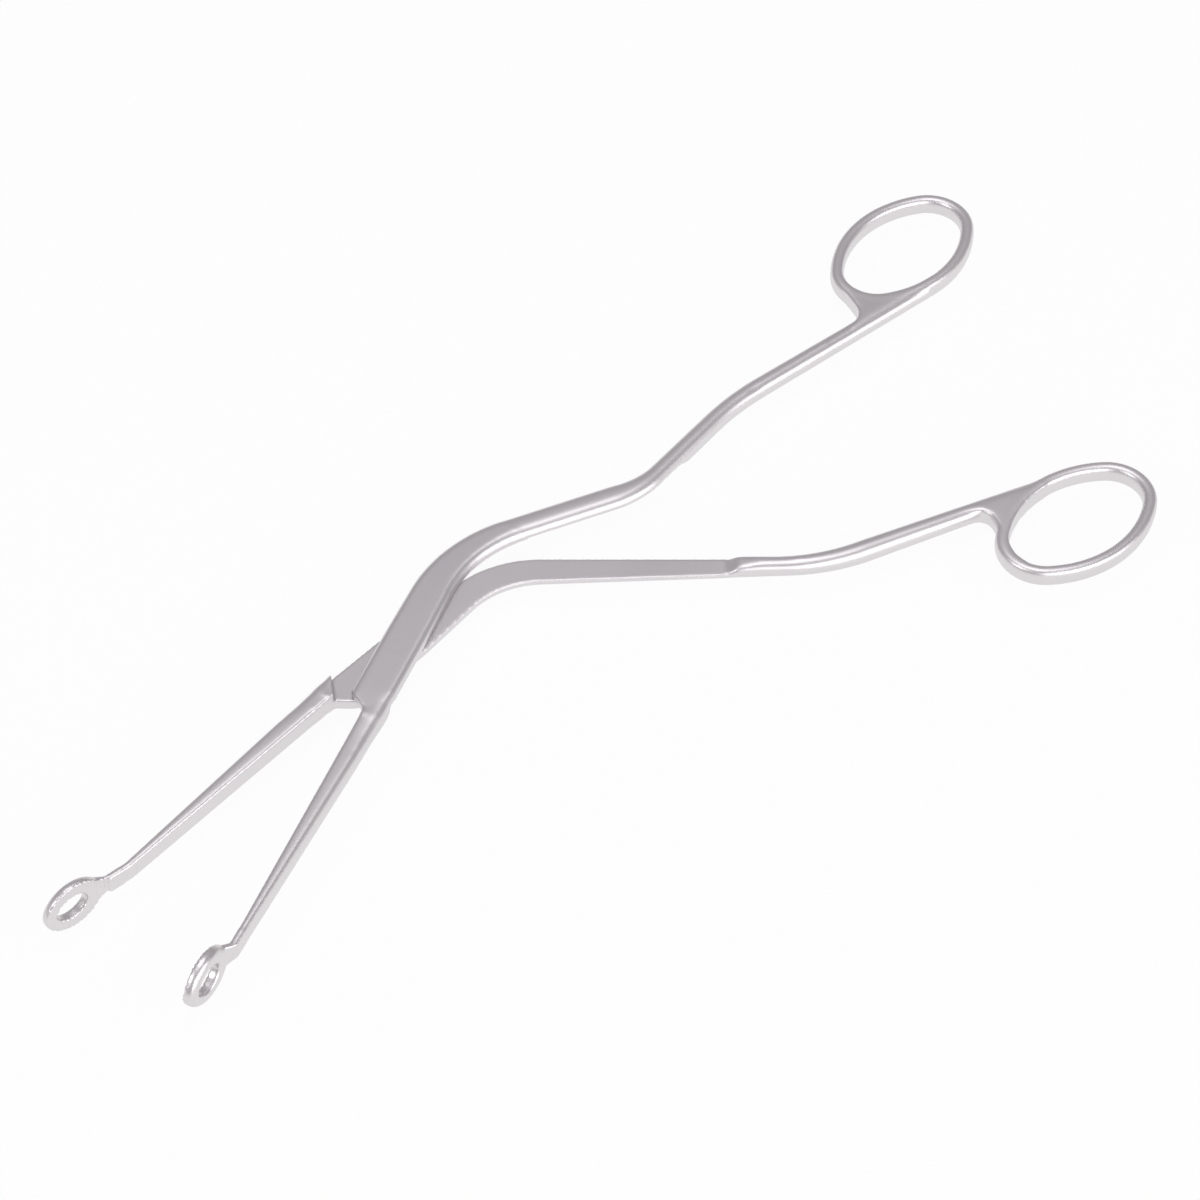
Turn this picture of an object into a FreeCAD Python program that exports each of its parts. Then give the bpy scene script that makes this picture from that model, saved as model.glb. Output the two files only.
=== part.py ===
import FreeCAD, Part
import math
import os
import Sketcher

# Magill forceps, 250 mm long when closed: two crossed one-piece arms on a pivot screw.
# Origin: the pivot axis at the flat underside of the joint. +Z up, the closed jaws point to -X.
# Each arm is drawn as it lies when the forceps are closed and its Placement opens it.

V = FreeCAD.Vector

# Driving sizes in millimetres and degrees.
SIZES = {
    # Lap joint
    "opening": 20.4,
    "closing_slack": 1.0,
    "stock_height": 4.6,
    "joint_width": 8.1,
    "joint_offset": 0.45,
    "joint_corner": 1.3,
    "joint_tail": 4.0,
    "block_ahead": 3.0,
    "lap_gap": 0.05,
    "shoulder_back": 16.9,
    "shoulder_slant": 50.0,
    "shoulder_gap": 0.45,
    "crotch_radius": 0.5,
    "jaw_gap": 0.5,
    # Shanks, with one value for each arm where they differ
    "upper_bend_at": 27.85,
    "upper_neck_width": 7.7,
    "upper_leg": 38.9,
    "upper_leg_angle": 44.7,
    "upper_fork": 30.3,
    "upper_fork_angle": 15.9,
    "upper_grip": 52.0,
    "upper_grip_angle": 29.4,
    "upper_elbow": 4.3,
    "upper_shank": 4.1,
    "lower_bend_at": 27.4,
    "lower_neck_width": 6.2,
    "lower_leg": 63.0,
    "lower_leg_angle": 47.0,
    "lower_grip": 47.5,
    "lower_grip_angle": 23.1,
    "lower_elbow": 3.8,
    "lower_shank": 4.4,
    "upper_first_radius": 30.0,
    "lower_first_radius": 20.0,
    "elbow_radius": 20.0,
    "grip_radius": 60.0,
    "lower_grip_radius": 40.0,
    "leg_width": 5.8,
    "leg_corner": 2.1,
    "shank_end": 3.6,
    "upper_crossing": 49.0,
    "lower_crossing": 44.6,
    "scoop_radius": 4.0,
    "scoop_angle": 35.0,
    "scoop_rise": 1.4,
    "scoop_brow": 1.5,
    "scoop_top": 3.45,
    "lap_reach": 9.0,
    "upper_run_out": 2.0,
    "lower_run_out": 18.0,
    # Finger rings
    "ring_long": 34.0,
    "ring_short": 21.9,
    "ring_band": 2.8,
    "ring_height": 4.2,
    "ring_corner": 1.25,
    "upper_ring_tilt": 18.6,
    "upper_ring_ahead": 5.5,
    "lower_ring_tilt": 7.4,
    "lower_ring_ahead": -1.0,
    "web_height": 2.4,
    "web_corner": 3.0,
    "web_out": 2.3,
    "web_tail": 4.0,
    "upper_web_back": 16.0,
    "lower_web_back": 12.7,
    # Jaws
    "jaw_start": 15.0,
    "jaw_root_width": 4.4,
    "jaw_root_height": 4.2,
    "jaw_root_corner": 1.5,
    "jaw_bend_at": 70.0,
    "jaw_bend_width": 1.6,
    "jaw_bend_height": 4.1,
    "jaw_bend_corner": 0.65,
    "upper_jaw_face": 0.25,
    "lower_jaw_face": -0.95,
    "jaw_edge": 0.4,
    "jaw_cant": 6.0,
    "jaw_end_width": 1.5,
    "jaw_end_height": 4.0,
    "upper_neck_set_back": 1.6,
    "lower_neck_set_back": -0.6,
    # Fenestrated loops
    "loop_offset": 0.4,
    "loop_centre": 11.9,
    "loop_length": 12.7,
    "loop_height": 10.5,
    "loop_thickness": 2.2,
    "loop_back_radius": 1.3,
    "loop_neck": 7.2,
    "flare_from_centre": 5.0,
    "flare_height": 5.6,
    "bite_gap": 0.2,
    "window_ahead": 0.5,
    "window_length": 6.8,
    "window_height": 5.2,
    "window_edge": 0.6,
    "groove_pitch": 0.9,
    "groove_depth": 0.3,
    "groove_width": 0.95,
    "groove_first": 5.0,
    # Pivot screw
    "screw_head": 5.0,
    "screw_cone": 0.9,
    "screw_shank": 3.2,
    "screw_end": 2.8,
    "screw_running_gap": 0.05,
    "screw_seat_gap": 0.02,
    "screw_sunk": 0.1,
    "screw_end_chamfer": 0.2,
    "tool_clearance": 1.0,
    "slot_width": 0.9,
    "slot_depth": 0.6,
}

doc = FreeCAD.newDocument("MagillForceps")
sheet = doc.addObject("Spreadsheet::Sheet", "Sizes")
for row, (name, value) in enumerate(SIZES.items(), start=1):
    sheet.set(f"A{row}", name)
    sheet.set(f"B{row}", str(value))
    sheet.setAlias(f"B{row}", name)
doc.recompute()


class Size:
    """A length or an angle: its number, and the same as a text that binds it to the sheet."""

    def __init__(self, value, text):
        self.value = value
        self.text = text

    def joined(self, sign, other, value):
        return Size(value, f"({self.text} {sign} {other.text})")

    def __add__(self, other):
        other = as_size(other)
        return self.joined("+", other, self.value + other.value)

    def __sub__(self, other):
        other = as_size(other)
        return self.joined("-", other, self.value - other.value)

    def __mul__(self, other):
        other = as_size(other)
        return self.joined("*", other, self.value * other.value)

    def __truediv__(self, other):
        other = as_size(other)
        return self.joined("/", other, self.value / other.value)

    def __radd__(self, other):
        return as_size(other) + self

    def __rsub__(self, other):
        return as_size(other) - self

    def __rmul__(self, other):
        return as_size(other) * self

    def __rtruediv__(self, other):
        return as_size(other) / self

    def __neg__(self):
        return as_size(-1) * self


def as_size(number):
    return number if isinstance(number, Size) else Size(float(number), str(number))


def size(name):
    return Size(SIZES[name], f"Sizes.{name}")


zero = as_size(0)
straight_ahead = as_size(180)
lap = size("stock_height") / 2
# A rod's corner radius and an oval's end radius, as shares of their half widths.
ROD_ROUNDNESS = 0.96
OVAL_END = 0.72


def sine(angle):
    return Size(math.sin(math.radians(angle.value)), f"sin({angle.text})")


def cosine(angle):
    return Size(math.cos(math.radians(angle.value)), f"cos({angle.text})")


def tangent(angle):
    return Size(math.tan(math.radians(angle.value)), f"tan({angle.text})")


def root(number):
    return Size(math.sqrt(number.value), f"sqrt({number.text})")


def along(point, angle, distance, aside=0):
    """The point at a distance in a direction of the plan, and that far to its left."""
    x, y = point
    return (x + distance * cosine(angle) - aside * sine(angle),
            y + distance * sine(angle) + aside * cosine(angle))


def origin_plane(body, role):
    return next(f for f in body.Origin.OriginFeatures if f.Role == role)


def flat_sketch(body, name, height, point=(0, 0), turn=Size(0, "0")):
    """A sketch in plan, at a height, with its origin at a point and its x turned."""
    x, y = (as_size(part).text for part in point)
    sketch = body.newObject("Sketcher::SketchObject", name)
    sketch.AttachmentSupport = [(origin_plane(body, "XY_Plane"), "")]
    sketch.MapMode = "FlatFace"
    base = f"vector({x}; {y}; {height.text})"
    sketch.setExpression("AttachmentOffset", f"placement({base}; rotation(vector(0; 0; 1); {turn.text}))")
    return sketch


def standing_sketch(body, name, point, height, turn):
    """An upright sketch: its origin is over a point of the plan, its x runs level at an angle."""
    x, y = (as_size(part).text for part in point)
    sketch = body.newObject("Sketcher::SketchObject", name)
    sketch.AttachmentSupport = [(origin_plane(body, "XZ_Plane"), "")]
    sketch.MapMode = "FlatFace"
    base = f"vector({x}; {as_size(height).text}; -1 * {y})"
    sketch.setExpression("AttachmentOffset", f"placement({base}; rotation(vector(0; 1; 0); {turn.text}))")
    return sketch


def bind(sketch, kind, *places, to):
    """A constraint whose value is bound to the sheet."""
    number = sketch.addConstraint(Sketcher.Constraint(kind, *places, to.value))
    sketch.setExpression(f"Constraints[{number}]", to.text)


def pin_point(sketch, geometry, end, point):
    bind(sketch, "DistanceX", -1, 1, geometry, end, to=as_size(point[0]))
    bind(sketch, "DistanceY", -1, 1, geometry, end, to=as_size(point[1]))


def outline(sketch, corners, radii, closed=True):
    """Straight runs through the corners, joined by tangent arcs where a corner has a radius."""
    corners = [(as_size(x), as_size(y)) for x, y in corners]
    spots = [V(x.value, y.value, 0) for x, y in corners]
    count = len(spots)
    starts, ends, arcs = list(spots), list(spots), {}
    for i, radius in enumerate(radii):
        if radius is None:
            continue
        back = (spots[i - 1] - spots[i]).normalize()
        ahead = (spots[(i + 1) % count] - spots[i]).normalize()
        half = back.getAngle(ahead) / 2
        reach = radius.value / math.tan(half)
        middle = spots[i] + (back + ahead).normalize() * (radius.value / math.sin(half) - radius.value)
        ends[i], starts[i] = spots[i] + back * reach, spots[i] + ahead * reach
        arcs[i] = sketch.addGeometry(Part.Arc(ends[i], middle, starts[i]))
    runs = {}
    for i in range(count if closed else count - 1):
        runs[i] = sketch.addGeometry(Part.LineSegment(starts[i], ends[(i + 1) % count]))
    for i in range(count):
        before, after = runs.get(i - 1 if i else (count - 1 if closed else -1)), runs.get(i)
        if i in arcs:
            mark = sketch.addGeometry(Part.Point(spots[i]), True)
            pin_point(sketch, mark, 1, corners[i])
            sketch.addConstraint(Sketcher.Constraint("PointOnObject", mark, 1, before))
            sketch.addConstraint(Sketcher.Constraint("PointOnObject", mark, 1, after))
            first = 1 if sketch.getPoint(arcs[i], 1).isEqual(ends[i], 1e-6) else 2
            sketch.addConstraint(Sketcher.Constraint("Tangent", before, 2, arcs[i], first))
            sketch.addConstraint(Sketcher.Constraint("Tangent", arcs[i], 3 - first, after, 1))
            bind(sketch, "Radius", arcs[i], to=radii[i])
            continue
        if before is not None and after is not None:
            sketch.addConstraint(Sketcher.Constraint("Coincident", before, 2, after, 1))
        if after is not None:
            pin_point(sketch, after, 1, corners[i])
        else:
            pin_point(sketch, before, 2, corners[i])


def oval(sketch, centre, length, width):
    """An oval of four tangent arcs, its long axis along the sketch's x."""
    a, b = length / 2, width / 2
    small = b * OVAL_END
    reach = a - small
    large = (reach * reach + b * b - small * small) / (2 * (b - small))
    drop = large - b
    stretch = math.hypot(reach.value, drop.value)
    middle = V(centre.value, 0, 0)
    meet = V(reach.value * (1 + small.value / stretch), drop.value * small.value / stretch, 0)
    quarter = [middle + V(x * meet.x, y * meet.y, 0) for x, y in ((1, -1), (1, 1), (-1, 1), (-1, -1))]
    crown = [middle + V(x * a.value, y * b.value, 0) for x, y in ((1, 0), (0, 1), (-1, 0), (0, -1))]
    arcs = [sketch.addGeometry(Part.Arc(quarter[i], crown[i], quarter[(i + 1) % 4])) for i in range(4)]
    for arc, following in zip(arcs, arcs[1:] + arcs[:1]):
        sketch.addConstraint(Sketcher.Constraint("Tangent", arc, 2, following, 1))
    for i, arc in enumerate(arcs):
        bind(sketch, "Radius", arc, to=large if i % 2 else small)
    pin_point(sketch, arcs[0], 3, (centre + reach, zero))
    pin_point(sketch, arcs[2], 3, (centre - reach, zero))


def section(body, name, point, height, direction, width, tall, left_radius, right_radius):
    """A rounded rectangle square to a direction of the plan, centred on a point."""
    sketch = standing_sketch(body, name, point, height, direction + 90)
    corners = [(-width / 2, -tall / 2), (width / 2, -tall / 2), (width / 2, tall / 2), (-width / 2, tall / 2)]
    outline(sketch, corners, [right_radius, left_radius, left_radius, right_radius])
    return sketch


def extrude(body, kind, name, sketch, length, reverse=False, both_ways=False):
    feature = body.newObject(f"PartDesign::{kind}", name)
    feature.Profile = sketch
    feature.setExpression("Length", as_size(length).text)
    feature.Reversed = reverse
    feature.Midplane = both_ways
    feature.Refine = False
    doc.recompute()
    return feature


def loft(body, name, sections):
    feature = body.newObject("PartDesign::AdditiveLoft", name)
    feature.Profile = sections[0]
    feature.Sections = [(other, [""]) for other in sections[1:]]
    feature.Ruled = True
    feature.Refine = False
    doc.recompute()
    return feature


def pipe(body, name, spine, profile):
    feature = body.newObject("PartDesign::AdditivePipe", name)
    feature.Profile = profile
    feature.Spine = (spine, [])
    feature.Refine = False
    doc.recompute()
    return feature


def fillet(body, name, radius, picked):
    """Rounds the edges of the body that the test picks."""
    base = body.Tip
    edges = [f"Edge{i}" for i, edge in enumerate(base.Shape.Edges, start=1) if picked(edge)]
    feature = body.newObject("PartDesign::Fillet", name)
    feature.Base = (base, edges)
    feature.setExpression("Radius", radius.text)
    doc.recompute()
    return feature


def loop_frame(side):
    """Where the loops meet when closed: a point at the bend, and the direction to the tips."""
    jaw_line = straight_ahead + side * size("closing_slack") / 2
    return along((zero, zero), jaw_line, size("jaw_bend_at"), -size("loop_offset")), jaw_line - size("jaw_cant")


def loop_face(side):
    """The same on the loop's inner face, half the bite gap away."""
    point, turn = loop_frame(side)
    return along(point, turn, 0, -side * size("bite_gap") / 2), turn


def make_loop(body, side):
    """The fenestrated loop at the jaw's end: oval rim with a rounded back and an oval window."""
    face, turn = loop_face(side)
    outward = side < 0
    rim = standing_sketch(body, "LoopRim", face, lap, turn)
    oval(rim, size("loop_centre"), size("loop_length"), size("loop_height"))
    extrude(body, "Pad", "Loop", rim, size("loop_thickness"), outward)
    middle = V(face[0].value, face[1].value, 0)
    angle = math.radians(turn.value)
    normal = V(math.sin(angle), -math.cos(angle), 0) * side

    nearly_outside = size("loop_thickness").value - size("jaw_edge").value

    def on_back(edge):
        return all((v.Point - middle).dot(normal) > nearly_outside for v in edge.Vertexes)

    fillet(body, "RoundedBack", size("loop_back_radius"), on_back)
    window = standing_sketch(body, "WindowOutline", face, lap, turn)
    oval(window, size("loop_centre") + size("window_ahead"), size("window_length"), size("window_height"))
    extrude(body, "Pocket", "Window", window, size("loop_height"), both_ways=True)
    fillet(body, "WindowEdge", size("window_edge"), on_back)


def jaw_section(body, name, point, turn, width, tall, side, outer, inner):
    """A section of the jaw, with larger corners on the outer side."""
    left, right = (outer, inner) if side < 0 else (inner, outer)
    return section(body, name, point, lap, turn, width, tall, left, right)


def make_neck(body, side, rod_face, set_back):
    """The end of the jaw, set back from the loop's inner face, which flares into the rim."""
    face, turn = loop_face(side)
    thick = size("jaw_end_width")
    corner = size("jaw_bend_corner")
    neck = size("loop_centre") - size("loop_neck")
    rim = size("loop_centre") - size("flare_from_centre")
    at_neck = jaw_section(body, "JawNeck", along(face, turn, neck, -side * (thick / 2 + set_back)), turn,
                          thick, size("jaw_end_height"), side, corner, size("jaw_edge"))
    at_rim = jaw_section(body, "JawFlare", along(face, turn, rim, -side * size("loop_thickness") / 2), turn,
                         thick, size("flare_height"), side, corner, size("jaw_edge"))
    bend_y = side * (rod_face + size("jaw_bend_width") / 2)
    at_bend = jaw_section(body, "JawBend", (-size("jaw_bend_at"), bend_y), straight_ahead,
                          size("jaw_bend_width"), size("jaw_bend_height"), side, corner, size("jaw_edge"))
    loft(body, "Flare", [at_rim, at_neck])
    loft(body, "JawTip", [at_neck, at_bend])
    return at_bend


def make_jaw(body, side, at_bend):
    """The straight jaw, which tapers from the joint to the bend."""
    root_y = side * (size("jaw_gap") + size("jaw_root_width")) / 2
    at_root = jaw_section(body, "JawRoot", (-size("jaw_start"), root_y), straight_ahead,
                          size("jaw_root_width"), size("jaw_root_height"), side,
                          size("jaw_root_corner"), size("jaw_edge"))
    loft(body, "Jaw", [at_bend, at_root])


def make_joint(body, side):
    """The full block of the joint, open on the other jaw's side ahead of the lap."""
    corner = size("joint_corner")
    front = size("jaw_start") + size("block_ahead")
    block = section(body, "JointSection", (-front, side * size("joint_offset")), lap, zero,
                    size("joint_width"), size("stock_height"), corner, corner)
    extrude(body, "Pad", "JointBlock", block, front + size("joint_tail"))
    slope = 1 / tangent(size("shoulder_slant"))
    half_gap = size("jaw_gap") / 2
    end = size("shoulder_gap") / sine(size("shoulder_slant")) - size("shoulder_back")
    wide = size("joint_width")
    crotch = flat_sketch(body, "CrotchOutline", zero)
    left = -front - size("tool_clearance")
    level = side * half_gap
    top = -side * wide
    outline(crotch, [(left, level), (end - slope * half_gap, level), (end + slope * wide, top), (left, top)],
            [None, size("crotch_radius"), None, None])
    extrude(body, "Pocket", "Crotch", crotch, size("stock_height") * 2, both_ways=True)


def joint_bar(width):
    return width, size("stock_height"), size("joint_corner")


def leg_bar():
    return size("leg_width"), size("stock_height"), size("leg_corner")


def round_bar(across):
    return across, across, across * ROD_ROUNDNESS / 2


def bar_stations(legs, first_bend):
    """Corners of the shank's centre line, from the joint to the ring, with the angle of each run."""
    point = first_bend
    corners, angles = [(size("joint_tail"), point[1]), point], [zero]
    for length, angle in legs:
        point = along(point, -angle, length)
        corners.append(point)
        angles.append(-angle)
    return corners, angles


def make_shank(body, legs, radii, first_bend, sections):
    """One bar from the joint to the ring: straight tapers between bends, rectangle to round rod."""
    corners, angles = bar_stations(legs, first_bend)
    spine = flat_sketch(body, "BarLine", lap)
    outline(spine, corners, [None, *radii, None], closed=False)
    doc.recompute()
    places = [(corners[0], angles[0])]
    for corner, before, after, radius in zip(corners[1:], angles, angles[1:], radii):
        turn = (before - after) / 2 if before.value > after.value else (after - before) / 2
        reach = radius * tangent(turn)
        places += [(along(corner, before, -reach), before), (along(corner, after, reach), after)]
    places.append((corners[-1], angles[-1]))
    shapes = [section(body, f"BarSection{i}", point, lap, angle, width, height, corner, corner)
              for i, ((point, angle), (width, height, corner)) in enumerate(zip(places, sections), start=1)]
    for i, (first, second) in enumerate(zip(shapes, shapes[1:])):
        if i % 2:
            spot = V(places[i][0][0].value, places[i][0][1].value, lap.value)
            bend_pipe(body, f"Bend{i // 2 + 1}", spine, spot, first, second)
        else:
            loft(body, f"Run{i // 2 + 1}", [first, second])
    return corners, angles


def bend_pipe(body, name, spine, spot, first, second):
    """The bar's bend from one section to the next, along the arc that starts at a spot."""
    arcs = [f"Edge{i}" for i, edge in enumerate(spine.Shape.Edges, start=1)
            if isinstance(edge.Curve, Part.Circle) and edge.distToShape(Part.Vertex(spot))[0] < 1e-4]
    feature = body.newObject("PartDesign::AdditivePipe", name)
    feature.Profile = first
    feature.Spine = (spine, arcs)
    feature.Transformation = "Multisection"
    feature.Sections = [(second, [""])]
    feature.Refine = False
    doc.recompute()
    return feature


def make_ring(body, side, end, grip_angle, tilt, ahead, web_back):
    """The finger ring on the shank's end, with the thin web in the corner between them."""
    long_half, short_half = size("ring_long") / 2, size("ring_short") / 2
    lift = short_half * root(1 - (ahead / long_half) * (ahead / long_half))
    toward = -side
    centre = along(end, -tilt, ahead, toward * lift)
    near = along(centre, -tilt, -long_half)
    web = flat_sketch(body, "WebOutline", lap)
    outline(web, [along(end, grip_angle, -web_back - size("web_tail")),
                  along(end, grip_angle, -web_back, toward * size("web_out")),
                  near, centre, end],
            [None, size("web_corner"), None, None, None])
    extrude(body, "Pad", "Web", web, size("web_height"), both_ways=True)
    hole = flat_sketch(body, "FingerHole", lap, centre, -tilt)
    oval(hole, zero, size("ring_long"), size("ring_short"))
    extrude(body, "Pocket", "RingOpening", hole, size("stock_height") * 2, both_ways=True)
    line = flat_sketch(body, "RingLine", lap, centre, -tilt)
    oval(line, zero, size("ring_long"), size("ring_short"))
    corner = size("ring_corner")
    wire = section(body, "RingSection", along(centre, -tilt, long_half), lap, -tilt - 90,
                   size("ring_band"), size("ring_height"), corner, corner)
    pipe(body, "Ring", line, wire)


def make_lap(body, side, first_bend, leg_angle, flat, run_out):
    """Halves the arm from the shoulder to the elbow, with a scooped end."""
    removed_up = side > 0
    level = lap - side * size("lap_gap") / 2
    wide = size("joint_width")
    slope = 1 / tangent(size("shoulder_slant"))
    shoulder = -size("shoulder_back")
    far = first_bend[0] + size("lap_reach")
    below = -wide * 2
    recess = flat_sketch(body, "LapOutline", level)
    outline(recess, [(shoulder + side * slope * wide, wide), (shoulder - side * slope * wide, -wide),
                     (zero, -wide), (zero, below), (far, below), (far, wide)], [None] * 6)
    extrude(body, "Pocket", "LapRecess", recess, size("stock_height"), removed_up)
    crossing = standing_sketch(body, "CrossingOutline", first_bend, level, -leg_angle)
    step = size("scoop_rise")
    ramp = step / tangent(size("scoop_angle"))
    high = side * size("scoop_top")
    outline(crossing, [(zero, zero), (flat, zero), (flat + ramp, side * step),
                       (flat + ramp + run_out, high), (zero, high)],
            [None, size("scoop_radius"), size("scoop_brow"), None, None])
    extrude(body, "Pocket", "CrossingFlat", crossing, wide * 2, both_ways=True)


def cut_grooves(body, side):
    """Level rows of V grooves across the inner face, from the neck to the tip."""
    point, turn = loop_frame(side)
    pitch, first = size("groove_pitch"), size("groove_first")
    half = size("groove_width") / 2
    notch = flat_sketch(body, "GrooveOutline", lap, point, turn)
    bottom = -side * (size("bite_gap") / 2 + size("groove_depth"))
    clear = side * size("tool_clearance")
    outline(notch, [(first - half, clear), (first + half, clear), (first + half, zero),
                    (first, bottom), (first - half, zero)], [None] * 5)
    groove = extrude(body, "Pocket", "Groove", notch, size("loop_height") * 2, both_ways=True)
    rows = body.newObject("PartDesign::LinearPattern", "Grooves")
    rows.Originals = [groove]
    rows.Direction = (notch, ["H_Axis"])
    rows.Mode = "Spacing"
    rows.setExpression("Offset", pitch.text)
    run = size("loop_centre") + size("loop_length") / 2 - first
    rows.setExpression("Occurrences", f"floor({(run / pitch).text}) + 1")
    body.Tip = rows
    doc.recompute()


def turn_profile(body, kind, name, profile):
    """A profile of (radius, height) points turned about the pivot axis."""
    sketch = standing_sketch(body, name + "Profile", (zero, zero), 0, zero)
    outline(sketch, profile, [None] * len(profile))
    feature = body.newObject(f"PartDesign::{kind}", name)
    feature.Profile = sketch
    feature.ReferenceAxis = (sketch, ["V_Axis"])
    feature.Angle = 360
    feature.Refine = False
    doc.recompute()
    return feature


def new_body(name, turn):
    body = doc.addObject("PartDesign::Body", name)
    body.Label = name
    body.setExpression("Placement", f"placement(vector(0; 0; 0); rotation(vector(0; 0; 1); {turn.text}))")
    return body


def make_upper_arm():
    """The arm on top at the joint. Its jaw lies on the -Y side when the forceps are closed."""
    body = new_body("upper_arm", size("opening") / 2)
    side = -1
    make_loop(body, side)
    at_bend = make_neck(body, side, size("upper_jaw_face"), size("upper_neck_set_back"))
    cut_grooves(body, side)
    make_joint(body, side)
    make_jaw(body, side, at_bend)
    legs = [(size(f"upper_{run}"), size(f"upper_{run}_angle")) for run in ("leg", "fork", "grip")]
    radii = [size("upper_first_radius"), size("elbow_radius"), size("grip_radius")]
    rod = round_bar(size("upper_shank"))
    sections = [joint_bar(size("joint_width")), joint_bar(size("upper_neck_width")), leg_bar(), leg_bar(),
                round_bar(size("upper_elbow")), rod, rod, round_bar(size("shank_end"))]
    first_bend = (size("upper_bend_at"), side * size("joint_offset"))
    corners, angles = make_shank(body, legs, radii, first_bend, sections)
    make_lap(body, side, first_bend, size("upper_leg_angle"),
             size("upper_crossing"), size("upper_run_out"))
    make_ring(body, side, corners[-1], angles[-1], size("upper_ring_tilt"),
              size("upper_ring_ahead"), size("upper_web_back"))
    bore = size("screw_end") / 2 + size("screw_seat_gap")
    top, chamfer, beyond = size("stock_height"), size("screw_end_chamfer"), size("tool_clearance")
    turn_profile(body, "Groove", "ScrewSeat",
                 [(zero, zero), (bore, zero), (bore, top - chamfer), (bore + chamfer, top),
                  (bore + chamfer, top + beyond), (zero, top + beyond)])
    return body


def make_lower_arm():
    """The arm below at the joint, which turns on the screw."""
    body = new_body("lower_arm", -size("opening") / 2)
    side = 1
    make_loop(body, side)
    at_bend = make_neck(body, side, size("lower_jaw_face"), size("lower_neck_set_back"))
    cut_grooves(body, side)
    make_joint(body, side)
    make_jaw(body, side, at_bend)
    legs = [(size(f"lower_{run}"), size(f"lower_{run}_angle")) for run in ("leg", "grip")]
    radii = [size("lower_first_radius"), size("lower_grip_radius")]
    sections = [joint_bar(size("joint_width")), joint_bar(size("lower_neck_width")), leg_bar(),
                round_bar(size("lower_elbow")), round_bar(size("lower_shank")), round_bar(size("shank_end"))]
    first_bend = (size("lower_bend_at"), side * size("joint_offset"))
    corners, angles = make_shank(body, legs, radii, first_bend, sections)
    make_lap(body, side, first_bend, size("lower_leg_angle"),
             size("lower_crossing"), size("lower_run_out"))
    make_ring(body, side, corners[-1], angles[-1], size("lower_ring_tilt"),
              size("lower_ring_ahead"), size("lower_web_back"))
    gap = size("screw_running_gap")
    head, bore = size("screw_head") / 2 + gap, size("screw_shank") / 2 + gap
    low, below = size("screw_sunk"), -size("tool_clearance")
    turn_profile(body, "Groove", "ScrewBore",
                 [(zero, below), (head, below), (head, low), (bore, low + size("screw_cone")),
                  (bore, size("stock_height")), (zero, size("stock_height"))])
    return body


def make_pivot_screw():
    """A countersunk screw from below, its end riveted flush in the upper arm."""
    body = new_body("pivot_screw", size("opening") / 2)
    head, shank = size("screw_head") / 2, size("screw_shank") / 2
    end, chamfer = size("screw_end") / 2, size("screw_end_chamfer")
    low, top = size("screw_sunk"), size("stock_height")
    turn_profile(body, "Revolution", "Screw",
                 [(zero, low), (head, low), (shank, low + size("screw_cone")), (shank, lap),
                  (end, lap), (end, top - chamfer), (end - chamfer, top), (zero, top)])
    slot = flat_sketch(body, "SlotOutline", low)
    long_half, half = size("screw_head"), size("slot_width") / 2
    outline(slot, [(-long_half, -half), (long_half, -half), (long_half, half), (-long_half, half)], [None] * 4)
    extrude(body, "Pocket", "DriverSlot", slot, size("slot_depth"), reverse=True)
    return body


def check_document(bodies):
    for item in doc.Objects:
        if "Invalid" in item.State or "Error" in item.State:
            raise RuntimeError(f"{item.Name} failed: {item.State}")
    for body in bodies:
        if body.Shape.isNull() or not body.Shape.isValid() or len(body.Shape.Solids) != 1:
            raise RuntimeError(f"{body.Label} is not one valid solid")


nodes = [make_upper_arm(), make_lower_arm(), make_pivot_screw()]
doc.recompute()
check_document(nodes)
os.makedirs("parts", exist_ok=True)
for node in nodes:
    node.Shape.exportStep(f"parts/{node.Label}.step")
    print(node.Label, round(node.Shape.Volume, 1), node.Shape.BoundBox)
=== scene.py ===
import math

import bmesh
import bpy
from mathutils import Matrix, Vector


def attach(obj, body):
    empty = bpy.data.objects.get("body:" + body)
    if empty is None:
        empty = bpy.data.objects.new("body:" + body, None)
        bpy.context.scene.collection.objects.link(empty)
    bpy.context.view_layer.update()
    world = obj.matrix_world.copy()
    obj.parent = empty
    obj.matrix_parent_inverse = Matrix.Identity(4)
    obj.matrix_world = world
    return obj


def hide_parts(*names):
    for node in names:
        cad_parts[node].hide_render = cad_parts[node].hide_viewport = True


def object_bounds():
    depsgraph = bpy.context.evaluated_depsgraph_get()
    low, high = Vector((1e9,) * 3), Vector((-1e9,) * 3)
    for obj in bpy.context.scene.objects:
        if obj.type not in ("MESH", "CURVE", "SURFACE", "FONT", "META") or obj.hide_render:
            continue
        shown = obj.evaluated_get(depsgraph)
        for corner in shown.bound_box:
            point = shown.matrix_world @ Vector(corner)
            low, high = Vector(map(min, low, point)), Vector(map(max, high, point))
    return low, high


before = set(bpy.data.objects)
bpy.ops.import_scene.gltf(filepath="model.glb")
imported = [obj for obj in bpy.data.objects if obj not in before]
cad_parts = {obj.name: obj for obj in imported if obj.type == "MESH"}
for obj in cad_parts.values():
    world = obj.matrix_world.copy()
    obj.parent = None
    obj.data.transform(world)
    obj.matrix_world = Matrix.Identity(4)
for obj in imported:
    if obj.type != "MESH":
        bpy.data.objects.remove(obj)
cad_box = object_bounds()


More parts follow.
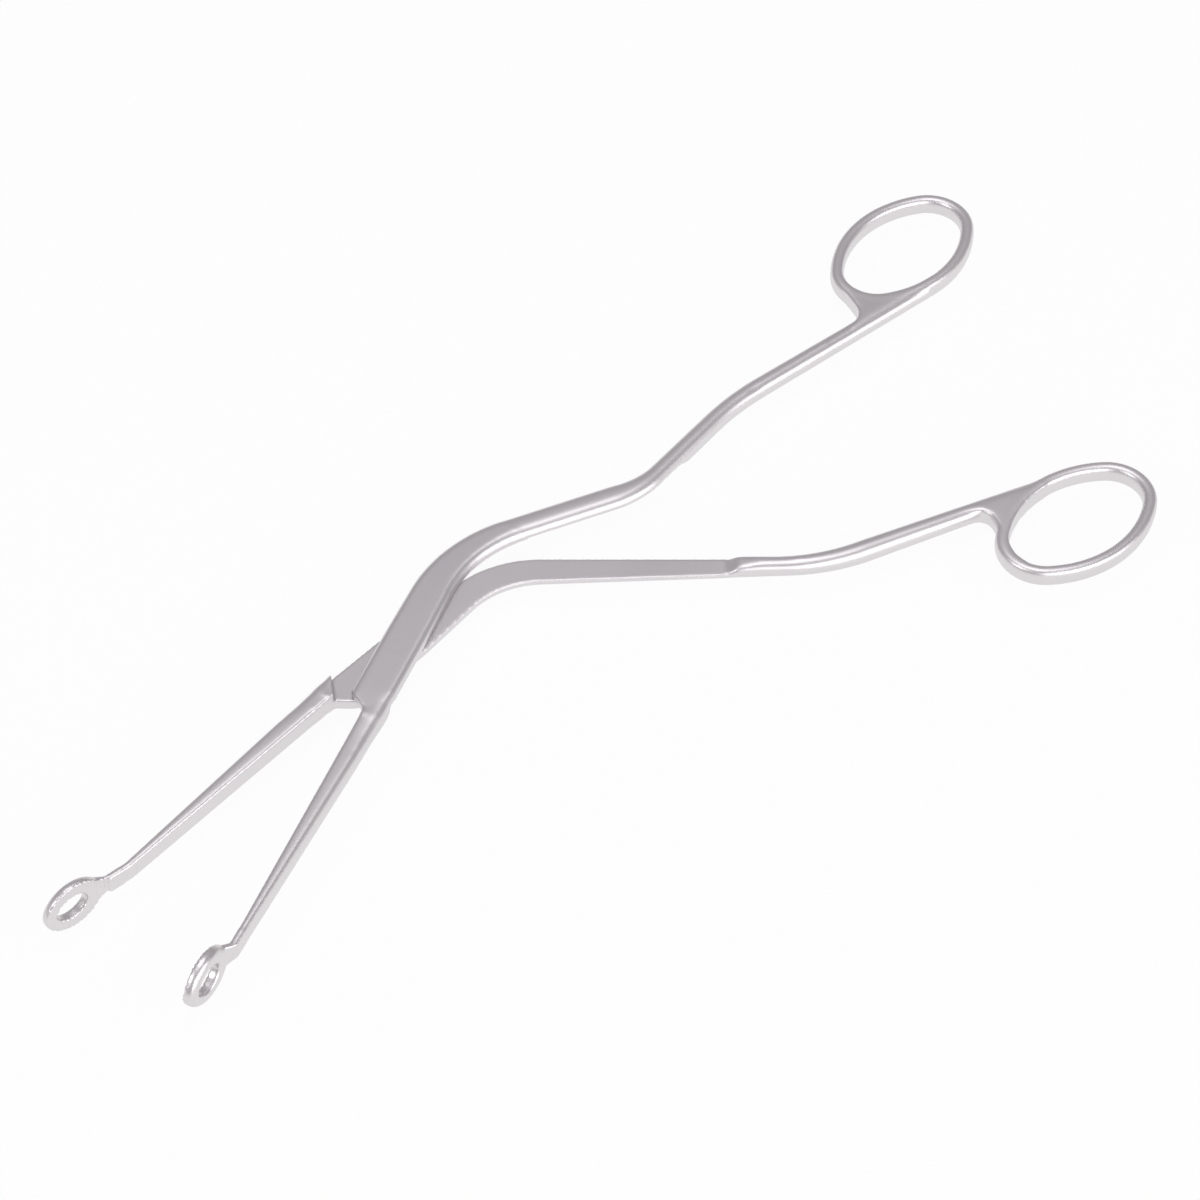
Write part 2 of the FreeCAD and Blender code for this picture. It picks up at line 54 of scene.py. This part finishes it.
# Camera, as the photograph was taken: from the tips' side, 48 degrees above the table and
# 780 mm away, level, with a focal length of 4100 pixels in a frame of 1200.
camera_spot = Vector((-0.4134, -0.2991, 0.5819))
camera_target = Vector((0.0312, -0.0256, 0.0023))
camera = bpy.data.objects.new("camera", bpy.data.cameras.new("camera"))
bpy.context.scene.collection.objects.link(camera)
sensor_width = 36.0
photo_width, focal_pixels = 1200, 4100
camera.data.sensor_width = sensor_width
camera.data.lens = sensor_width * focal_pixels / photo_width
camera.data.clip_start = 0.05
camera.data.clip_end = 20.0
camera.location = camera_spot
camera.rotation_mode = "QUATERNION"
camera.rotation_quaternion = (camera_target - camera_spot).to_track_quat("-Z", "Y")
bpy.context.scene.camera = camera
bpy.context.scene.view_settings.view_transform = "Standard"


# Table and studio: a white table under the loops of the jaws, a pale room, and three large
# soft boxes. The brightest is low on the camera's side, so rounded flanks catch it. The table
# is white to the camera and in the steel, and see-through from below.
room = bpy.data.worlds.new("room")
room.use_nodes = True
bpy.context.scene.world = room
room_nodes = room.node_tree.nodes
room_links = room.node_tree.links
room_light = room_nodes["Background"]
room_light.inputs["Color"].default_value = (0.44, 0.425, 0.435, 1)
room_light.inputs["Strength"].default_value = 1.0
backdrop = room_nodes.new("ShaderNodeBackground")
backdrop.inputs["Color"].default_value = (1, 1, 1, 1)
backdrop.inputs["Strength"].default_value = 1.0
room_ray = room_nodes.new("ShaderNodeLightPath")
room_mix = room_nodes.new("ShaderNodeMixShader")
room_links.new(room_ray.outputs["Is Camera Ray"], room_mix.inputs[0])
room_links.new(room_light.outputs[0], room_mix.inputs[1])
room_links.new(backdrop.outputs[0], room_mix.inputs[2])
room_links.new(room_mix.outputs[0], room_nodes["World Output"].inputs["Surface"])

table_reach = 3.0
under_loops = 0.0001
bench = bmesh.new()
bmesh.ops.create_grid(bench, x_segments=1, y_segments=1, size=table_reach)
bmesh.ops.translate(bench, verts=bench.verts, vec=(0, 0, cad_box[0].z - under_loops))
table_mesh = bpy.data.meshes.new("table_top")
bench.to_mesh(table_mesh)
bench.free()
table_top = bpy.data.objects.new("table_top", table_mesh)
bpy.context.scene.collection.objects.link(table_top)
table_paper = bpy.data.materials.new("white_paper")
table_paper.use_nodes = True
paper_nodes = table_paper.node_tree.nodes
paper_links = table_paper.node_tree.links
paper_nodes["Principled BSDF"].inputs["Base Color"].default_value = (0.86, 0.86, 0.86, 1)
paper_nodes["Principled BSDF"].inputs["Roughness"].default_value = 0.8
paper_nodes["Principled BSDF"].inputs["Specular IOR Level"].default_value = 0.2
paper_glow = paper_nodes.new("ShaderNodeEmission")
paper_glow.inputs["Color"].default_value = (1, 1, 1, 1)
paper_ray = paper_nodes.new("ShaderNodeLightPath")
paper_seen = paper_nodes.new("ShaderNodeMath")
paper_seen.operation = "MAXIMUM"
paper_share = paper_nodes.new("ShaderNodeMath")
paper_share.operation = "MULTIPLY"
paper_share.inputs[1].default_value = 0.94
paper_mix = paper_nodes.new("ShaderNodeMixShader")
paper_links.new(paper_ray.outputs["Is Camera Ray"], paper_seen.inputs[0])
paper_links.new(paper_ray.outputs["Is Glossy Ray"], paper_seen.inputs[1])
paper_links.new(paper_seen.outputs[0], paper_share.inputs[0])
paper_links.new(paper_share.outputs[0], paper_mix.inputs[0])
paper_links.new(paper_nodes["Principled BSDF"].outputs[0], paper_mix.inputs[1])
paper_links.new(paper_glow.outputs[0], paper_mix.inputs[2])
paper_side = paper_nodes.new("ShaderNodeNewGeometry")
paper_clear = paper_nodes.new("ShaderNodeBsdfTransparent")
paper_faces = paper_nodes.new("ShaderNodeMixShader")
paper_links.new(paper_side.outputs["Backfacing"], paper_faces.inputs[0])
paper_links.new(paper_mix.outputs[0], paper_faces.inputs[1])
paper_links.new(paper_clear.outputs[0], paper_faces.inputs[2])
paper_links.new(paper_faces.outputs[0], paper_nodes["Material Output"].inputs["Surface"])
table_mesh.materials.append(table_paper)


def soft_box(name, spot, width, height, watts):
    """A rectangular lamp that faces the middle of the forceps."""
    lamp = bpy.data.lights.new(name, "AREA")
    lamp.shape = "RECTANGLE"
    lamp.size = width
    lamp.size_y = height
    lamp.energy = watts
    stand = bpy.data.objects.new(name, lamp)
    bpy.context.scene.collection.objects.link(stand)
    stand.location = spot
    stand.rotation_mode = "QUATERNION"
    stand.rotation_quaternion = (camera_target - Vector(spot)).to_track_quat("-Z", "Y")


soft_box("front_box", (-0.25, -1.1, 0.5), width=1.8, height=0.8, watts=9.5)
soft_box("left_box", (-1.0, 0.5, 0.9), width=0.6, height=0.6, watts=4.0)
soft_box("top_box", (0.2, 0.1, 1.5), width=1.0, height=1.0, watts=5.0)


# Upper arm: one forging of stainless steel with its loop, jaw, lap, shank and finger ring,
# ground flat over the joint and brushed satin. A plug closes the bore of the screw's riveted
# end, and a plate fills the flat web between rod and ring.
def satin_grain():
    """Fine brushing: a bump height, a roughness and a shade that change over the surface."""
    group = bpy.data.node_groups.new("satin_grain", "ShaderNodeTree")
    for name, usual in (("Brush Scale", 2500.0), ("Roughness", 0.3), ("Spread", 0.08)):
        socket = group.interface.new_socket(name, in_out="INPUT", socket_type="NodeSocketFloat")
        socket.default_value = usual
    group.interface.new_socket("Steel", in_out="INPUT", socket_type="NodeSocketColor")
    group.interface.new_socket("Vector", in_out="INPUT", socket_type="NodeSocketVector")
    group.interface.new_socket("Height", in_out="OUTPUT", socket_type="NodeSocketFloat")
    group.interface.new_socket("Roughness", in_out="OUTPUT", socket_type="NodeSocketFloat")
    group.interface.new_socket("Color", in_out="OUTPUT", socket_type="NodeSocketColor")
    nodes, links = group.nodes, group.links
    given = nodes.new("NodeGroupInput")
    result = nodes.new("NodeGroupOutput")
    fine = nodes.new("ShaderNodeTexNoise")
    fine.inputs["Detail"].default_value = 3.0
    fine.inputs["Roughness"].default_value = 0.6
    links.new(given.outputs["Vector"], fine.inputs["Vector"])
    links.new(given.outputs["Brush Scale"], fine.inputs["Scale"])
    links.new(fine.outputs[0], result.inputs["Height"])
    cloud = nodes.new("ShaderNodeTexNoise")
    cloud.inputs["Scale"].default_value = 60.0
    cloud.inputs["Detail"].default_value = 4.0
    links.new(given.outputs["Vector"], cloud.inputs["Vector"])
    centred = nodes.new("ShaderNodeMath")
    centred.operation = "SUBTRACT"
    centred.inputs[1].default_value = 0.5
    links.new(cloud.outputs[0], centred.inputs[0])
    spread = nodes.new("ShaderNodeMath")
    spread.operation = "MULTIPLY"
    links.new(centred.outputs[0], spread.inputs[0])
    links.new(given.outputs["Spread"], spread.inputs[1])
    rough = nodes.new("ShaderNodeMath")
    rough.operation = "ADD"
    links.new(spread.outputs[0], rough.inputs[0])
    links.new(given.outputs["Roughness"], rough.inputs[1])
    links.new(rough.outputs[0], result.inputs["Roughness"])
    shade = nodes.new("ShaderNodeHueSaturation")
    value = nodes.new("ShaderNodeMath")
    value.operation = "ADD"
    value.inputs[1].default_value = 1.0
    links.new(spread.outputs[0], value.inputs[0])
    links.new(value.outputs[0], shade.inputs["Value"])
    links.new(given.outputs["Steel"], shade.inputs["Color"])
    links.new(shade.outputs[0], result.inputs["Color"])
    return group


grain = satin_grain()


def steel(name, color, roughness, spread, brush, bump):
    """Satin steel, its brushing drawn out where the brush's share of an axis is small."""
    brush_depth = 0.00002
    material = bpy.data.materials.new(name)
    material.use_nodes = True
    nodes, links = material.node_tree.nodes, material.node_tree.links
    shader = nodes["Principled BSDF"]
    shader.inputs["Metallic"].default_value = 1.0
    place = nodes.new("ShaderNodeTexCoord")
    stretch = nodes.new("ShaderNodeMapping")
    stretch.inputs["Scale"].default_value = brush
    links.new(place.outputs["Object"], stretch.inputs["Vector"])
    finish = nodes.new("ShaderNodeGroup")
    finish.node_tree = grain
    finish.inputs["Steel"].default_value = (*color, 1)
    finish.inputs["Roughness"].default_value = roughness
    finish.inputs["Spread"].default_value = spread
    links.new(stretch.outputs[0], finish.inputs["Vector"])
    relief = nodes.new("ShaderNodeBump")
    relief.inputs["Strength"].default_value = bump
    relief.inputs["Distance"].default_value = brush_depth
    links.new(finish.outputs["Height"], relief.inputs["Height"])
    links.new(finish.outputs["Color"], shader.inputs["Base Color"])
    links.new(finish.outputs["Roughness"], shader.inputs["Roughness"])
    links.new(relief.outputs[0], shader.inputs["Normal"])
    return material


def joined_copy(node):
    """A node's solid as one closed shell, its loose triangles joined."""
    same_spot = 0.000002
    shell = bmesh.new()
    shell.from_mesh(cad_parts[node].data)
    bmesh.ops.remove_doubles(shell, verts=shell.verts, dist=same_spot)
    return shell


def along(turn):
    """The level direction at an angle from +X."""
    return Vector((math.cos(math.radians(turn)), math.sin(math.radians(turn)), 0))


def rub(shell, passes, reached=lambda spot: True):
    """Rubs over the vertices that the test reaches, as a polishing wheel does."""
    verts = [vert for vert in shell.verts if reached(vert.co)]
    for stroke in range(passes):
        bmesh.ops.smooth_vert(shell, verts=verts, factor=0.5,
                              use_axis_x=True, use_axis_y=True, use_axis_z=True)


def skinned(shell, name, grain_size):
    """The shell as one even skin, in which its overlapping parts are joined."""
    rough_mesh = bpy.data.meshes.new(name + "_rough")
    shell.to_mesh(rough_mesh)
    shell.free()
    rough = bpy.data.objects.new(name + "_rough", rough_mesh)
    bpy.context.scene.collection.objects.link(rough)
    skin = rough.modifiers.new("skin", "REMESH")
    skin.mode = "VOXEL"
    skin.voxel_size = grain_size
    made = rough.evaluated_get(bpy.context.evaluated_depsgraph_get())
    mesh = bpy.data.meshes.new_from_object(made)
    bpy.data.objects.remove(rough)
    even = bmesh.new()
    even.from_mesh(mesh)
    bpy.data.meshes.remove(mesh)
    return even


def finished(shell, name, material, node, body):
    """Makes the shell the piece that stands for a node."""
    for face in shell.faces:
        face.smooth = True
        face.material_index = 0
    mesh = bpy.data.meshes.new(name)
    shell.to_mesh(mesh)
    shell.free()
    mesh.materials.append(material)
    piece = bpy.data.objects.new(name, mesh)
    bpy.context.scene.collection.objects.link(piece)
    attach(piece, body)
    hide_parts(node)


def add_plate(shell, corners, low, high, rounded):
    """A flat plate through the corners, its first corner rounded off."""
    plate = bmesh.new()
    verts = [plate.verts.new((x, y, low)) for x, y in corners]
    plate.faces.new(verts)
    bmesh.ops.bevel(plate, geom=verts[:1], offset=rounded, segments=6, profile=0.5,
                    affect="VERTICES", material=-1)
    grown = bmesh.ops.extrude_face_region(plate, geom=plate.faces[:])
    top = [part for part in grown["geom"] if isinstance(part, bmesh.types.BMVert)]
    bmesh.ops.translate(plate, verts=top, vec=(0, 0, high - low))
    bmesh.ops.recalc_face_normals(plate, faces=plate.faces)
    mesh = bpy.data.meshes.new("plate")
    plate.to_mesh(mesh)
    plate.free()
    shell.from_mesh(mesh)
    bpy.data.meshes.remove(mesh)


def oval_side(centre, turn, half_long, half_short, first, last, count):
    """Points along one side of an oval finger ring, between two angles."""
    ahead, aside = along(turn), along(turn + 90)
    spots = []
    for step in range(count):
        angle = math.radians(first + (last - first) * step / (count - 1))
        spot = centre + ahead * half_long * math.cos(angle) + aside * half_short * math.sin(angle)
        spots.append((spot.x, spot.y))
    return spots


skin_grain = 0.00025
web_low, web_high, web_heel = 0.0004, 0.0043, 0.002
ring_half_long, ring_half_short, ring_side_points = 0.0179, 0.0118, 14
joint_top = 0.0046
plug_radius, plug_length = 0.0018, 0.0014
upper_turn = 10.2
upper_shell = joined_copy("upper_arm")
upper_ring_middle, upper_ring_turn = Vector((0.14576, -0.02821, 0)), -8.4
upper_heel, upper_rod_end, upper_rod_side = (0.12455, -0.0301), (0.1388, -0.03765), (0.1195, -0.0309)
upper_ring_side = oval_side(upper_ring_middle, upper_ring_turn, ring_half_long, ring_half_short,
                            165, 285, ring_side_points)
upper_web = [upper_heel] + upper_ring_side + [upper_rod_end, upper_rod_side]
add_plate(upper_shell, upper_web, web_low, web_high, web_heel)
bmesh.ops.create_cone(upper_shell, cap_ends=True, segments=32, radius1=plug_radius,
                      radius2=plug_radius, depth=plug_length,
                      matrix=Matrix.Translation((0, 0, joint_top - plug_length / 2)))
upper_skin = skinned(upper_shell, "upper_bar", skin_grain)
upper_ahead, upper_aside = along(upper_turn + 180), along(upper_turn - 90)


def on_root(spot, ahead, aside, first, last):
    """The outer and top side of a jaw's root, where the joint's block runs into it."""
    outer_half, over_lap, outer_flank = 0.0012, 0.0025, 0.003
    side = spot.dot(aside)
    return (first < spot.dot(ahead) < last and side > outer_half
            and (spot.z > over_lap or side > outer_flank))


def eased(value, first, last):
    """0 up to the first value, 1 from the last on, and an even rise between them."""
    share = min(max((value - first) / (last - first), 0), 1)
    return share * share * (3 - 2 * share)


def ease_top(shell, ahead):
    """Turns the short step from the joint's flat down to the jaw's top into a long slope."""
    lap_face, drop = joint_top / 2, 0.00021
    step_from, step_to = 0.0162, 0.0188
    slope_from, slope_to = 0.011, 0.027
    for vert in shell.verts:
        way = vert.co.dot(ahead)
        if vert.co.z > lap_face and slope_from < way < slope_to:
            stepped = joint_top - drop * eased(way, step_from, step_to) - lap_face
            sloped = joint_top - drop * eased(way, slope_from, slope_to) - lap_face
            vert.co.z = lap_face + (vert.co.z - lap_face) * sloped / stepped


root_stages = ((0.0115, 0.0275), (0.0125, 0.025), (0.0135, 0.0235))
root_strokes, jaw_strokes, shank_strokes, last_strokes = 16, 9, 22, 3
upper_jaw_from, upper_leg_from, loops_from = 0.016, 0.037, 0.0715
ease_top(upper_skin, upper_ahead)
for root_from, root_to in root_stages:
    rub(upper_skin, root_strokes,
        lambda spot: on_root(spot, upper_ahead, upper_aside, root_from, root_to))
rub(upper_skin, jaw_strokes, lambda spot: upper_jaw_from < spot.dot(upper_ahead) < loops_from)
rub(upper_skin, shank_strokes, lambda spot: spot.x > upper_leg_from)
rub(upper_skin, last_strokes)
forged_color = (0.74, 0.715, 0.73)
lengthwise = (0.25, 1.0, 1.0)
upper_steel = steel("satin_upper", forged_color, roughness=0.36, spread=0.08,
                    brush=lengthwise, bump=0.04)
finished(upper_skin, "upper_bar", upper_steel, "upper_arm", "upper")


# Lower arm: the mate of the upper one, halved on its top over the joint and on past the
# fork, where a scooped step leads on to the round rod. Its flat is left finely ground.
lower_turn = -10.2
lower_shell = joined_copy("lower_arm")
lower_ring_middle, lower_ring_turn = Vector((0.09662, -0.09356, 0)), -17.6
lower_heel, lower_rod_end, lower_rod_side = (0.0891, -0.0785), (0.10088, -0.08344), (0.0861, -0.07374)
lower_ring_side = oval_side(lower_ring_middle, lower_ring_turn, ring_half_long, ring_half_short,
                            195, 75, ring_side_points)
lower_web = [lower_heel] + lower_ring_side + [lower_rod_end, lower_rod_side]
add_plate(lower_shell, lower_web, web_low, web_high, web_heel)
lower_skin = skinned(lower_shell, "lower_bar", skin_grain)
lower_ahead, lower_aside = along(lower_turn + 180), along(lower_turn + 90)
shoulder, shoulder_slope, shoulder_rim = 0.0169, 0.84, 0.0009
lower_root_from, lower_jaw_from = 0.012, 0.022
step_at = Vector((0.0512, -0.0418, 0))
shank_way = along(-57.2)


def on_lower_root(spot, root_to):
    """The lower jaw's root, past the slanting shoulder that stops the upper arm."""
    edge = shoulder - shoulder_slope * spot.dot(lower_aside) + shoulder_rim
    return (on_root(spot, lower_ahead, lower_aside, lower_root_from, root_to)
            and spot.dot(lower_ahead) > edge)


ease_top(lower_skin, lower_ahead)
for root_from, root_to in root_stages:
    rub(lower_skin, root_strokes, lambda spot: on_lower_root(spot, root_to))
rub(lower_skin, jaw_strokes, lambda spot: lower_jaw_from < spot.dot(lower_ahead) < loops_from)
rub(lower_skin, shank_strokes, lambda spot: (spot - step_at).dot(shank_way) > 0)
rub(lower_skin, last_strokes)
lower_steel = steel("satin_lower", forged_color, roughness=0.38, spread=0.08,
                    brush=lengthwise, bump=0.04)
finished(lower_skin, "lower_bar", lower_steel, "lower_arm", "lower")


# Pivot screw: a slotted countersunk screw let in from below, turned bright, and riveted
# in the upper arm. Its end is cut off under the plug, where grinding has hidden it.
def cut_off(shell, spot, direction):
    """Cuts the shell square to a direction, drops what lies ahead and closes the end."""
    cut = bmesh.ops.bisect_plane(shell, geom=shell.verts[:] + shell.edges[:] + shell.faces[:],
                                 plane_co=spot, plane_no=direction, dist=0.000001, clear_outer=True)
    rim = [part for part in cut["geom_cut"] if isinstance(part, bmesh.types.BMEdge)]
    bmesh.ops.holes_fill(shell, edges=rim)


screw_end, screw_grain, screw_strokes = 0.0038, 0.00006, 2
screw_shell = joined_copy("pivot_screw")
cut_off(screw_shell, Vector((0, 0, screw_end)), Vector((0, 0, 1)))
screw_skin = skinned(screw_shell, "screw", screw_grain)
rub(screw_skin, screw_strokes)
screw_steel = steel("turned_screw", (0.7, 0.69, 0.7), roughness=0.34, spread=0.06,
                    brush=(1.0, 1.0, 1.0), bump=0.1)
finished(screw_skin, "screw", screw_steel, "pivot_screw", "upper")
